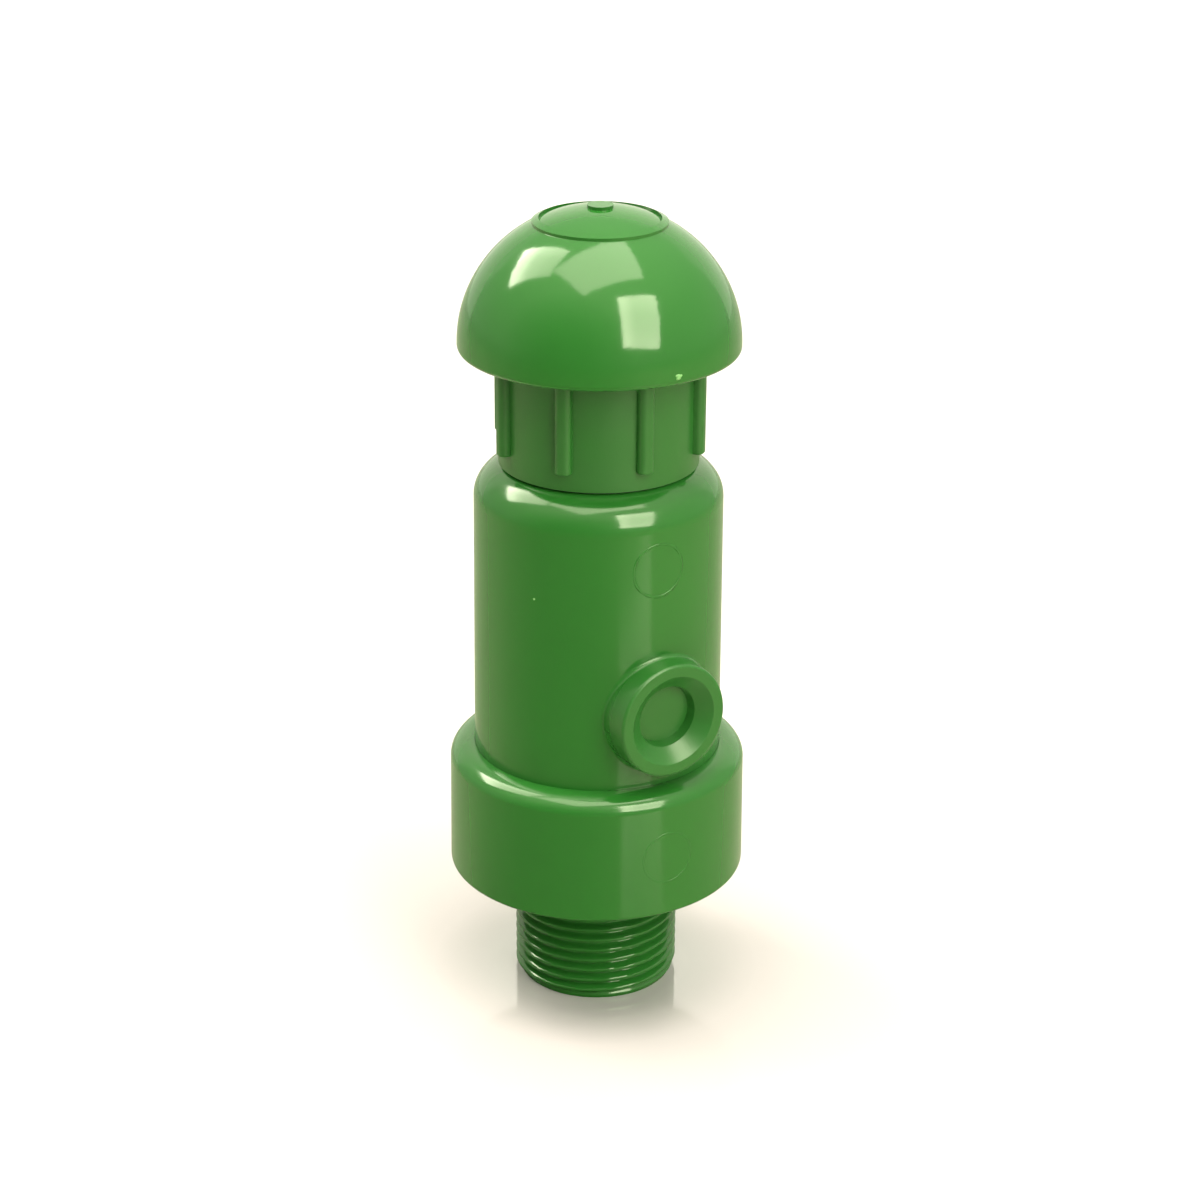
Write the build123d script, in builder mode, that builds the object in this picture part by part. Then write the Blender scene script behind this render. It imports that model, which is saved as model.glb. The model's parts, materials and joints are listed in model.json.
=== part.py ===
from build123d import *
import math
import os

os.makedirs("parts", exist_ok=True)

# Double-acting air release valve for a 1 inch pipe, in millimetres. +Z runs up the valve's axis, the side
# port faces -Y, and the origin is the centre of the end face of the inlet thread.

# Inlet spigot. Its G 1 thread is drawn plain, at the major diameter
THREAD_D = 33.25
SPIGOT_L = 25.5
SPIGOT_LEAD = 1.0
INLET_BORE_D = 24.0

# Base ring: a socket whose top edge is an oval quarter and whose wall spreads a little towards its foot
RING_WALL = 4.85
RING_FLARE = 0.2
RING_H = 26.5
RING_EDGE_H = 3.5
RING_FOOT_R = 0.9
BASE_FLOOR_T = 5.0
SOCKET_FIT = 0.05

# Housing: a drafted tube with a flattened oval shoulder
CHAMBER_D = 41.8
BODY_WALL = 3.9
BODY_TAPER = 0.3
BODY_H = 82.0
SHOULDER_W = 10.6
SHOULDER_H = 7.75
NECK_BORE_D = 33.2
NECK_WALL = 3.2
NECK_L = 11.6
NECK_DROP = 2.0

# Side port, blind: a drafted boss with a countersunk mouth and a drafted pocket with a flat floor
PORT_H = 36.5
PORT_PROUD = 4.0
PORT_FLOOR_D = 11.7
PORT_POCKET_L = 4.35
PORT_POCKET_DRAFT = 0.45
PORT_SINK_W = 2.9
PORT_SINK_L = 2.4
PORT_RIM_W = 2.4
PORT_DRAFT = 2.0
PORT_EDGE_R = 0.6
PORT_LIP_R = 0.3
PORT_ROOT_R = 0.8

# Seal between housing and base
SKIRT_RING_CORD = 2.1
SKIRT_RING_H = 6.5
GROOVE_PLAY = 0.3

# Strainer
STRAINER_LAP = 2.4
STRAINER_T = 1.9
STRAINER_FIT = 0.1
STRAINER_RIM = 2.6
STRAINER_SLOT = 1.5
STRAINER_BAR = 1.1
STRAINER_TIE = 2.0

# Float cage
CAGE_FIT = 0.3
CAGE_WALL = 2.2
CAGE_H = 49.5
CAGE_FOOT_W = 1.6
CAGE_FOOT_T = 1.5
CAGE_WINDOWS = 6
WINDOW_W = 11.0
WINDOW_FOOT = 8.0
WINDOW_HEAD = 6.0
GUIDE_H = 1.2
GUIDE_W = 2.0
BAFFLE_D = 25.0
BAFFLE_T = 2.0
BAFFLE_LIFT = 4.0
SPOKE_W = 2.6

# Float: two shells, lapped at the seam
FLOAT_FIT = 0.6
FLOAT_WALL = 1.6
FLOAT_GAP = 1.0
FLOAT_EDGE_R = 6.0
SEAM_LAP = 1.6
LAP_FIT = 0.05
NECK_D = 7.2
NECK_H = 4.0
FLANGE_D = 14.0
FLANGE_T = 2.2
HEAD_WALL = 1.6
HEAD_H = 1.8
BUTTON_D = 6.6
BUTTON_STEP = 1.0
BUTTON_FOOT_T = 1.0
BUTTON_PROUD = 0.4

# Travel of the float against the plug
FLOAT_LIFT = 2.5
STOP_GAP = 0.05

# Plug
PLUG_D = 27.0
PLUG_T = 3.0
PLUG_LIP_W = 0.8
PLUG_LIP_H = 1.3
FIN_COUNT = 4
FIN_W = 3.0
FIN_H = 4.0
FIN_FIT = 0.6
BOSS_WALL = 2.35
HOOK_COUNT = 3
HOOK_W = 6.0
HOOK_T = 1.8
HOOK_REACH = 1.9
HOOK_LIP_T = 1.1
HANG_GAP = 0.1
FLANGE_PLAY = 0.4

# Plug seal, its clamp ring and the nozzle
SEAL_T = 2.4
CLAMP_PLAY = 0.6
CLAMP_T = 1.8
CLAMP_BEVEL = 0.6
RING_FIT = 0.1
NOZZLE_D = 6.0
NOZZLE_BORE_D = 1.6
NOZZLE_TIP_W = 0.7
NOZZLE_CONE_H = 1.6
NOZZLE_HEAD_W = 1.3
NOZZLE_HEAD_T = 1.0
NOZZLE_RING_CORD = 1.0

# Large orifice seat
ORIFICE_D = 19.2
SEAT_RING_W = 4.3
SEAT_FIT = 0.05
SEAT_LIP_W = 1.2
SEAT_LIP_H = 0.9
SEAT_H = 4.6
SEAT_PROUD = 0.25

# Bonnet: threaded shank, ribbed collar, spider for the hood's stem. The shank's thread is drawn plain
SHANK_FIT = 0.3
SHANK_DROP = 0.3
LEDGE_LAP = 2.9
LEDGE_T = 3.0
FLARE_H = 10.05
BONNET_BORE_D = 34.2
COLLAR_WALL = 2.55
COLLAR_H = 27.0
RIB_COUNT = 8
RIB_ANGLE = -5.3
RIB_H = 1.85
RIB_W = 3.2
RIB_EDGE_R = 1.25
RIB_END_R = 0.35
RIB_LIFT = 3.6
RIB_HEAD_DROP = 1.0
HUB_WALL = 2.4
HUB_H = 8.0
HUB_DROP = 6.0
ARM_W = 3.0
ARM_H = 4.0
ARM_COUNT = 4

# Gasket under the collar
GASKET_T = 1.5
GASKET_INSET = 0.75
GASKET_PLAY = 0.4

# Insect screen
SCREEN_LAND = 1.2
SCREEN_WALL = 0.9
SCREEN_H = 9.5
SCREEN_SINK = 1.5
SCREEN_FIT = 0.1
SCREEN_SLOTS = 36
SCREEN_SLOT_W = 1.4
SCREEN_BAND = 1.4

# Hood
DOME_D = 54.8
DOME_RISE = 26.4
DOME_WALL = 2.0
DOME_DROP = 4.5
DOME_SKIRT = 1.3
DOME_RIM_R = 1.1
HOLD_RING_W = 1.8
STEM_STEP = 1.0
PIN_D = 8.0
PIN_FIT = 0.1
GUSSET_COUNT = 6
GUSSET_W = 1.6
GUSSET_LIFT = 2.0
CROWN_RING_D = 26.0
CROWN_RING_W = 1.3
CROWN_RING_H = 0.5
CROWN_SPOT_D = 5.0

# Clip on the hood's stem
CLIP_W = 3.0
CLIP_T = 0.8
CLIP_PLAY = 0.05
PIN_END = 1.4
PIN_GROOVE = 0.4

# Heights that follow from the sizes above
FLOOR_Z = SPIGOT_L + BASE_FLOOR_T
RING_TOP_Z = SPIGOT_L + RING_H
BODY_TOP_Z = FLOOR_Z + BODY_H
SHOULDER_Z = BODY_TOP_Z - SHOULDER_H
PORT_Z = FLOOR_Z + PORT_H
SKIRT_RING_Z = FLOOR_Z + SKIRT_RING_H
STRAINER_Z = FLOOR_Z - STRAINER_T - STRAINER_FIT
GASKET_SEAT_Z = BODY_TOP_Z - NECK_DROP
COLLAR_FOOT_Z = GASKET_SEAT_Z + GASKET_T
COLLAR_TOP_Z = COLLAR_FOOT_Z + COLLAR_H
RIB_FOOT_Z = COLLAR_FOOT_Z + RIB_LIFT
NECK_FOOT_Z = GASKET_SEAT_Z - NECK_L
SHANK_FOOT_Z = NECK_FOOT_Z - SHANK_DROP
SEAT_FOOT_Z = SHANK_FOOT_Z - SEAT_PROUD
SEAT_LIP_Z = SEAT_FOOT_Z - SEAT_LIP_H
LEDGE_Z = SEAT_FOOT_Z + SEAT_H
FLARE_TOP_Z = LEDGE_Z + LEDGE_T + FLARE_H
CAGE_TOP_Z = FLOOR_Z + CAGE_H
PLUG_TOP_Z = CAGE_TOP_Z + PLUG_T
SEAL_TOP_Z = PLUG_TOP_Z + SEAL_T
BOSS_TOP_Z = SEAL_TOP_Z + CLAMP_T
NOZZLE_TIP_Z = CAGE_TOP_Z - STOP_GAP
BUTTON_TOP_Z = NOZZLE_TIP_Z - FLOAT_LIFT - STOP_GAP
HEAD_TOP_Z = BUTTON_TOP_Z - BUTTON_PROUD
FLANGE_TOP_Z = HEAD_TOP_Z - HEAD_H
FLANGE_FOOT_Z = FLANGE_TOP_Z - FLANGE_T
HOOK_TOP_Z = FLANGE_FOOT_Z - HANG_GAP
FLOAT_CROWN_Z = FLANGE_FOOT_Z - NECK_H
BAFFLE_Z = FLOOR_Z + BAFFLE_LIFT
FLOAT_FOOT_Z = BAFFLE_Z + BAFFLE_T + FLOAT_GAP
SEAM_Z = (FLOAT_FOOT_Z + FLOAT_CROWN_Z) / 2
HUB_TOP_Z = COLLAR_TOP_Z - HUB_DROP
HUB_FOOT_Z = HUB_TOP_Z - HUB_H
SCREEN_FOOT_Z = COLLAR_TOP_Z - SCREEN_SINK
HOLD_RING_Z = SCREEN_FOOT_Z + SCREEN_H
GUSSET_Z = HOLD_RING_Z + GUSSET_LIFT
DOME_RIM_Z = COLLAR_TOP_Z - DOME_DROP
DOME_WIDE_Z = DOME_RIM_Z + DOME_SKIRT
PIN_GROOVE_Z = HUB_FOOT_Z - CLIP_T - 2 * CLIP_PLAY

# Radii that follow from the sizes above
CHAMBER_R = CHAMBER_D / 2
BODY_R = CHAMBER_R + BODY_WALL
BODY_TOP_R = BODY_R - BODY_TAPER
SOCKET_R = BODY_R + SOCKET_FIT
SHOULDER_IN_R = BODY_TOP_R - SHOULDER_W
RING_TOP_R = SOCKET_R + RING_WALL
RING_FOOT_OUT_R = RING_TOP_R + RING_FLARE
PORT_REACH = BODY_R + PORT_PROUD
PORT_POCKET_R = PORT_FLOOR_D / 2 + PORT_POCKET_DRAFT
PORT_MOUTH_R = PORT_POCKET_R + PORT_SINK_W
STRAINER_R = INLET_BORE_D / 2 + STRAINER_LAP
CAGE_R = CHAMBER_R - CAGE_FIT
CAGE_BORE_R = CAGE_R - CAGE_WALL
CAGE_FOOT_R = CHAMBER_R + CAGE_FOOT_W
FLOAT_R = CAGE_BORE_R - GUIDE_H - FLOAT_FIT
BOSS_R = NOZZLE_D / 2 + RING_FIT / 2 + BOSS_WALL
CLAMP_R = ORIFICE_D / 2 - CLAMP_PLAY
SEAT_R = ORIFICE_D / 2 + SEAT_RING_W
SHANK_R = NECK_BORE_D / 2 - SHANK_FIT
BORE_R = BONNET_BORE_D / 2
COLLAR_R = BORE_R + COLLAR_WALL
RIB_R = COLLAR_R + RIB_H
RECESS_R = COLLAR_R - GASKET_INSET
SCREEN_R = BORE_R + SCREEN_LAND
HUB_R = PIN_D / 2 + PIN_FIT + HUB_WALL
STEM_R = PIN_D / 2 + STEM_STEP


def corner(section, radius, height):
    """The corner of a drawn section nearest to a radius and a height."""
    return section.vertices().sort_by_distance((radius, height, 0))[0]


def reach(shape):
    """Distance of a shape's centre from the valve's axis."""
    return math.hypot(shape.center().X, shape.center().Y)


def dome_height(radius, inset=0.0):
    """Height of the hood's ellipse at a radius, on a surface set in from the outside."""
    share = radius / (DOME_D / 2 - inset)
    return DOME_WIDE_Z + (DOME_RISE - inset) * math.sqrt(1 - share**2)


def save(piece, name):
    """Labels a finished piece and writes it."""
    piece.part.label = name
    export_step(piece.part, f"parts/{name}.step")


# Inlet base: spigot, floor and socket ring in one moulding
with BuildPart() as inlet_base:
    with BuildSketch(Plane.XZ) as section:
        with BuildLine():
            top_edge = EllipticalCenterArc(
                (SOCKET_R, RING_TOP_Z - RING_EDGE_H), RING_WALL, RING_EDGE_H, arc_size=90
            )
            Polyline(
                top_edge @ 1,
                (SOCKET_R, FLOOR_Z),
                (STRAINER_R + STRAINER_FIT, FLOOR_Z),
                (STRAINER_R + STRAINER_FIT, STRAINER_Z),
                (INLET_BORE_D / 2, STRAINER_Z),
                (INLET_BORE_D / 2, 0),
                (THREAD_D / 2 - SPIGOT_LEAD, 0),
                (THREAD_D / 2, SPIGOT_LEAD),
                (THREAD_D / 2, SPIGOT_L),
                (RING_FOOT_OUT_R, SPIGOT_L),
                top_edge @ 0,
            )
        make_face()
        fillet(corner(section, RING_FOOT_OUT_R, SPIGOT_L), RING_FOOT_R)
    revolve(axis=Axis.Z)
save(inlet_base, "inlet_base")

# Strainer: parallel slots tied by one bar across
with BuildPart() as inlet_strainer:
    with BuildSketch(Plane.XY.offset(STRAINER_Z)):
        Circle(STRAINER_R)
    extrude(amount=STRAINER_T)
    slot_pitch = STRAINER_SLOT + STRAINER_BAR
    slot_span = 2 * (STRAINER_R - STRAINER_RIM)
    slot_count = int((slot_span - STRAINER_SLOT) / slot_pitch) + 1
    with BuildSketch(Plane.XY.offset(STRAINER_Z)):
        with GridLocations(0, slot_pitch, 1, slot_count):
            Rectangle(slot_span, STRAINER_SLOT)
        Circle(slot_span / 2, mode=Mode.INTERSECT)
        Rectangle(STRAINER_TIE, slot_span, mode=Mode.SUBTRACT)
    extrude(amount=STRAINER_T, mode=Mode.SUBTRACT)
save(inlet_strainer, "inlet_strainer")

# Housing
port_face = Plane(origin=(0, -PORT_REACH, PORT_Z), x_dir=(1, 0, 0), z_dir=(0, -1, 0))
with BuildPart() as valve_body:
    with BuildSketch(Plane.XZ):
        with BuildLine():
            shoulder = EllipticalCenterArc((SHOULDER_IN_R, SHOULDER_Z), SHOULDER_W, SHOULDER_H, arc_size=90)
            Polyline(
                shoulder @ 1,
                (0, BODY_TOP_Z),
                (0, FLOOR_Z),
                (BODY_R, FLOOR_Z),
                (BODY_R, RING_TOP_Z),
                shoulder @ 0,
            )
        make_face()
    revolve(axis=Axis.Z)
    with BuildSketch(port_face):
        Circle(PORT_MOUTH_R + PORT_RIM_W)
    extrude(amount=CHAMBER_R - PORT_REACH, taper=-PORT_DRAFT)
    boss_edges = edges(Select.LAST)
    fillet(boss_edges.filter_by(GeomType.BSPLINE), PORT_ROOT_R)
    fillet(boss_edges.sort_by(Axis.Y)[0], PORT_EDGE_R)
    with BuildSketch(port_face):
        Circle(PORT_MOUTH_R)
    with BuildSketch(port_face.offset(-PORT_SINK_L)):
        Circle(PORT_POCKET_R)
    with BuildSketch(port_face.offset(-PORT_POCKET_L)):
        Circle(PORT_FLOOR_D / 2)
    loft(ruled=True, mode=Mode.SUBTRACT)
    fillet(edges(Select.LAST).sort_by(Axis.Y)[0], PORT_LIP_R)
    # Float chamber, with the same wall round the shoulder
    shoulder_wall = BODY_TOP_R - CHAMBER_R
    with BuildSketch(Plane.XZ):
        with BuildLine():
            chamber_shoulder = EllipticalCenterArc(
                (SHOULDER_IN_R, SHOULDER_Z), SHOULDER_W - shoulder_wall, SHOULDER_H - shoulder_wall, arc_size=90
            )
            Polyline(
                chamber_shoulder @ 1,
                (0, BODY_TOP_Z - shoulder_wall),
                (0, FLOOR_Z),
                (CHAMBER_R, FLOOR_Z),
                chamber_shoulder @ 0,
            )
        make_face()
    revolve(axis=Axis.Z, mode=Mode.SUBTRACT)
    # Threaded neck that the bonnet screws into, hanging into the chamber
    with BuildSketch(Plane.XY.offset(NECK_FOOT_Z)):
        Circle(NECK_BORE_D / 2 + NECK_WALL)
    extrude(amount=NECK_L)
    with BuildSketch(Plane.XY.offset(NECK_FOOT_Z)):
        Circle(NECK_BORE_D / 2)
    extrude(amount=BODY_TOP_Z - NECK_FOOT_Z, mode=Mode.SUBTRACT)
    with BuildSketch(Plane.XY.offset(GASKET_SEAT_Z)):
        Circle(RECESS_R)
    extrude(amount=BODY_TOP_Z - GASKET_SEAT_Z, mode=Mode.SUBTRACT)
    # Step that clamps the cage's foot flange
    with BuildSketch(Plane.XY.offset(FLOOR_Z)):
        Circle(CAGE_FOOT_R + SEAT_FIT)
    extrude(amount=CAGE_FOOT_T + SEAT_FIT, mode=Mode.SUBTRACT)
    # Groove for the seal in the skirt
    with BuildSketch(Plane.XZ):
        with Locations((BODY_R, SKIRT_RING_Z)):
            Rectangle(2 * (SKIRT_RING_CORD - SOCKET_FIT), SKIRT_RING_CORD + GROOVE_PLAY)
    revolve(axis=Axis.Z, mode=Mode.SUBTRACT)
save(valve_body, "valve_body")

with BuildPart() as base_o_ring:
    with Locations((0, 0, SKIRT_RING_Z)):
        Torus(SOCKET_R - SKIRT_RING_CORD / 2, SKIRT_RING_CORD / 2)
save(base_o_ring, "base_o_ring")

# Float cage: slotted sleeve on a foot flange, guide ribs between the slots, baffle on upright spokes
with BuildPart() as float_cage:
    with BuildSketch(Plane.XY.offset(FLOOR_Z)):
        Circle(CAGE_R)
        Circle(CAGE_BORE_R, mode=Mode.SUBTRACT)
    extrude(amount=CAGE_TOP_Z - FLOOR_Z)
    window_foot = FLOOR_Z + WINDOW_FOOT
    window_head = CAGE_TOP_Z - WINDOW_HEAD
    for turn in range(CAGE_WINDOWS // 2):
        with BuildSketch(Plane.XZ.rotated((0, 0, turn * 360 / CAGE_WINDOWS))):
            with Locations((0, (window_foot + window_head) / 2)):
                SlotOverall(window_head - window_foot, WINDOW_W, rotation=90)
        extrude(amount=CAGE_R + CAGE_WALL, both=True, mode=Mode.SUBTRACT)
    with BuildSketch(Plane.XY.offset(FLOOR_Z)):
        with PolarLocations(CAGE_BORE_R, CAGE_WINDOWS, start_angle=90 + 180 / CAGE_WINDOWS):
            Rectangle(2 * GUIDE_H, GUIDE_W)
    extrude(amount=CAGE_TOP_Z - FLOOR_Z)
    with BuildSketch(Plane.XY.offset(FLOOR_Z)):
        Circle(CAGE_FOOT_R)
        Circle(CAGE_BORE_R, mode=Mode.SUBTRACT)
    extrude(amount=CAGE_FOOT_T)
    with BuildSketch(Plane.XY.offset(FLOOR_Z)):
        with PolarLocations(0, CAGE_WINDOWS // 2, start_angle=90 + 180 / CAGE_WINDOWS):
            Rectangle(2 * (CAGE_BORE_R + CAGE_WALL / 2), SPOKE_W)
    extrude(amount=BAFFLE_LIFT + BAFFLE_T)
    with BuildSketch(Plane.XY.offset(BAFFLE_Z)):
        Circle(BAFFLE_D / 2)
    extrude(amount=BAFFLE_T)
save(float_cage, "float_cage")

# Float, lower shell: a cup with a lip inside the seam
with BuildPart() as float_lower_shell:
    with BuildSketch(Plane.XZ) as section:
        with BuildLine():
            Polyline(
                (0, FLOAT_FOOT_Z),
                (FLOAT_R, FLOAT_FOOT_Z),
                (FLOAT_R, SEAM_Z),
                (FLOAT_R - FLOAT_WALL / 2, SEAM_Z),
                (FLOAT_R - FLOAT_WALL / 2, SEAM_Z + SEAM_LAP),
                (FLOAT_R - FLOAT_WALL, SEAM_Z + SEAM_LAP),
                (FLOAT_R - FLOAT_WALL, FLOAT_FOOT_Z + FLOAT_WALL),
                (0, FLOAT_FOOT_Z + FLOAT_WALL),
                close=True,
            )
        make_face()
        fillet(corner(section, FLOAT_R, FLOAT_FOOT_Z), FLOAT_EDGE_R)
        fillet(
            corner(section, FLOAT_R - FLOAT_WALL, FLOAT_FOOT_Z + FLOAT_WALL),
            FLOAT_EDGE_R - FLOAT_WALL,
        )
    revolve(axis=Axis.Z)
save(float_lower_shell, "float_lower_shell")

# Float, upper shell: the same cup turned over, with neck, hanger flange and the button's pocket
with BuildPart() as float_upper_shell:
    with BuildSketch(Plane.XZ) as section:
        with BuildLine():
            Polyline(
                (0, FLOAT_CROWN_Z),
                (FLOAT_R, FLOAT_CROWN_Z),
                (FLOAT_R, SEAM_Z),
                (FLOAT_R - FLOAT_WALL / 2 + LAP_FIT, SEAM_Z),
                (FLOAT_R - FLOAT_WALL / 2 + LAP_FIT, SEAM_Z + SEAM_LAP + LAP_FIT),
                (FLOAT_R - FLOAT_WALL, SEAM_Z + SEAM_LAP + LAP_FIT),
                (FLOAT_R - FLOAT_WALL, FLOAT_CROWN_Z - FLOAT_WALL),
                (0, FLOAT_CROWN_Z - FLOAT_WALL),
                close=True,
            )
        make_face()
        fillet(corner(section, FLOAT_R, FLOAT_CROWN_Z), FLOAT_EDGE_R)
        fillet(
            corner(section, FLOAT_R - FLOAT_WALL, FLOAT_CROWN_Z - FLOAT_WALL),
            FLOAT_EDGE_R - FLOAT_WALL,
        )
    revolve(axis=Axis.Z)
    for foot, diameter, top in (
        (FLOAT_CROWN_Z - FLOAT_WALL / 2, NECK_D, FLANGE_TOP_Z),
        (FLANGE_FOOT_Z, FLANGE_D, FLANGE_TOP_Z),
        (FLANGE_TOP_Z, BUTTON_D + 2 * (RING_FIT + HEAD_WALL), HEAD_TOP_Z),
    ):
        with BuildSketch(Plane.XY.offset(foot)):
            Circle(diameter / 2)
        extrude(amount=top - foot)
    with Locations((0, 0, HEAD_TOP_Z)):
        Hole(BUTTON_D / 2 + RING_FIT, depth=HEAD_H)
save(float_upper_shell, "float_upper_shell")

with BuildPart() as nozzle_button:
    with BuildSketch(Plane.XY.offset(FLANGE_TOP_Z)):
        Circle(BUTTON_D / 2)
    extrude(amount=BUTTON_FOOT_T)
    with BuildSketch(Plane.XY.offset(FLANGE_TOP_Z)):
        Circle(BUTTON_D / 2 - BUTTON_STEP)
    extrude(amount=BUTTON_TOP_Z - FLANGE_TOP_Z)
save(nozzle_button, "nozzle_button")

with BuildPart() as button_retainer:
    with BuildSketch(Plane.XY.offset(FLANGE_TOP_Z + BUTTON_FOOT_T)):
        Circle(BUTTON_D / 2)
        Circle(BUTTON_D / 2 - BUTTON_STEP + RING_FIT, mode=Mode.SUBTRACT)
    extrude(amount=HEAD_H - BUTTON_FOOT_T)
save(button_retainer, "button_retainer")

# Plug: plate with a lip round the seal, boss for the nozzle, guide fins and hooks that carry the float
with BuildPart() as orifice_plug:
    with BuildSketch(Plane.XY.offset(CAGE_TOP_Z)):
        Circle(PLUG_D / 2)
    extrude(amount=PLUG_T)
    with BuildSketch(Plane.XY.offset(PLUG_TOP_Z)):
        Circle(PLUG_D / 2)
        Circle(PLUG_D / 2 - PLUG_LIP_W, mode=Mode.SUBTRACT)
    extrude(amount=PLUG_LIP_H)
    with BuildSketch(Plane.XY.offset(CAGE_TOP_Z)):
        Circle(BOSS_R)
    extrude(amount=BOSS_TOP_Z - CAGE_TOP_Z)
    fin_root_r = PLUG_D / 2 - PLUG_LIP_W
    fin_tip_r = CHAMBER_R - FIN_FIT
    with BuildSketch(Plane.XY.offset(CAGE_TOP_Z)):
        with PolarLocations((fin_root_r + fin_tip_r) / 2, FIN_COUNT, start_angle=180 / FIN_COUNT):
            Rectangle(fin_tip_r - fin_root_r, FIN_W)
    extrude(amount=FIN_H)
    hook_r = FLANGE_D / 2 + FLANGE_PLAY
    with BuildSketch(Plane.XY.offset(HOOK_TOP_Z - HOOK_LIP_T)):
        with PolarLocations(hook_r + HOOK_T / 2, HOOK_COUNT):
            Rectangle(HOOK_T, HOOK_W)
    extrude(amount=CAGE_TOP_Z - HOOK_TOP_Z + HOOK_LIP_T)
    with BuildSketch(Plane.XY.offset(HOOK_TOP_Z - HOOK_LIP_T)):
        with PolarLocations(hook_r - HOOK_REACH / 2, HOOK_COUNT):
            Rectangle(HOOK_REACH, HOOK_W)
    extrude(amount=HOOK_LIP_T)
    with Locations((0, 0, BOSS_TOP_Z)):
        Hole(NOZZLE_D / 2 + RING_FIT / 2)
save(orifice_plug, "orifice_plug")

with BuildPart() as plug_seal:
    with BuildSketch(Plane.XY.offset(PLUG_TOP_Z)):
        Circle(PLUG_D / 2 - PLUG_LIP_W - RING_FIT)
        Circle(BOSS_R + RING_FIT, mode=Mode.SUBTRACT)
    extrude(amount=SEAL_T)
save(plug_seal, "plug_seal")

with BuildPart() as seal_clamp_ring:
    with BuildSketch(Plane.XY.offset(SEAL_TOP_Z)):
        Circle(CLAMP_R)
        Circle(BOSS_R + RING_FIT, mode=Mode.SUBTRACT)
    extrude(amount=CLAMP_T)
    chamfer(edges().filter_by(GeomType.CIRCLE).group_by(Axis.Z)[-1].sort_by(SortBy.RADIUS)[-1], CLAMP_BEVEL)
save(seal_clamp_ring, "seal_clamp_ring")

# Nozzle: cone down to a fine tip, bore right through, head on the boss
with BuildPart() as small_orifice_nozzle:
    with BuildSketch(Plane.XZ):
        with BuildLine():
            Polyline(
                (NOZZLE_BORE_D / 2, NOZZLE_TIP_Z),
                (NOZZLE_BORE_D / 2 + NOZZLE_TIP_W, NOZZLE_TIP_Z),
                (NOZZLE_D / 2, NOZZLE_TIP_Z + NOZZLE_CONE_H),
                (NOZZLE_D / 2, BOSS_TOP_Z),
                (NOZZLE_D / 2 + NOZZLE_HEAD_W, BOSS_TOP_Z),
                (NOZZLE_D / 2 + NOZZLE_HEAD_W, BOSS_TOP_Z + NOZZLE_HEAD_T),
                (NOZZLE_BORE_D / 2, BOSS_TOP_Z + NOZZLE_HEAD_T),
                close=True,
            )
        make_face()
        with Locations((NOZZLE_D / 2, (PLUG_TOP_Z + BOSS_TOP_Z) / 2)):
            Rectangle(2 * NOZZLE_RING_CORD - RING_FIT, NOZZLE_RING_CORD + RING_FIT, mode=Mode.SUBTRACT)
    revolve(axis=Axis.Z)
save(small_orifice_nozzle, "small_orifice_nozzle")

with BuildPart() as nozzle_o_ring:
    with Locations((0, 0, (PLUG_TOP_Z + BOSS_TOP_Z) / 2)):
        Torus(NOZZLE_D / 2 + RING_FIT / 2 - NOZZLE_RING_CORD / 2, NOZZLE_RING_CORD / 2)
save(nozzle_o_ring, "nozzle_o_ring")

# Seat of the large orifice, with the lip that the plug's seal closes on
with BuildPart() as seat_ring:
    lip_in = ORIFICE_D / 2 + SEAT_LIP_W / 2
    with BuildSketch(Plane.XZ):
        with BuildLine():
            Polyline(
                (ORIFICE_D / 2, SEAT_FOOT_Z),
                (lip_in, SEAT_FOOT_Z),
                (lip_in, SEAT_LIP_Z),
                (lip_in + SEAT_LIP_W, SEAT_LIP_Z),
                (lip_in + SEAT_LIP_W, SEAT_FOOT_Z),
                (SEAT_R, SEAT_FOOT_Z),
                (SEAT_R, LEDGE_Z),
                (ORIFICE_D / 2, LEDGE_Z),
                close=True,
            )
        make_face()
    revolve(axis=Axis.Z)
save(seat_ring, "seat_ring")

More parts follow.
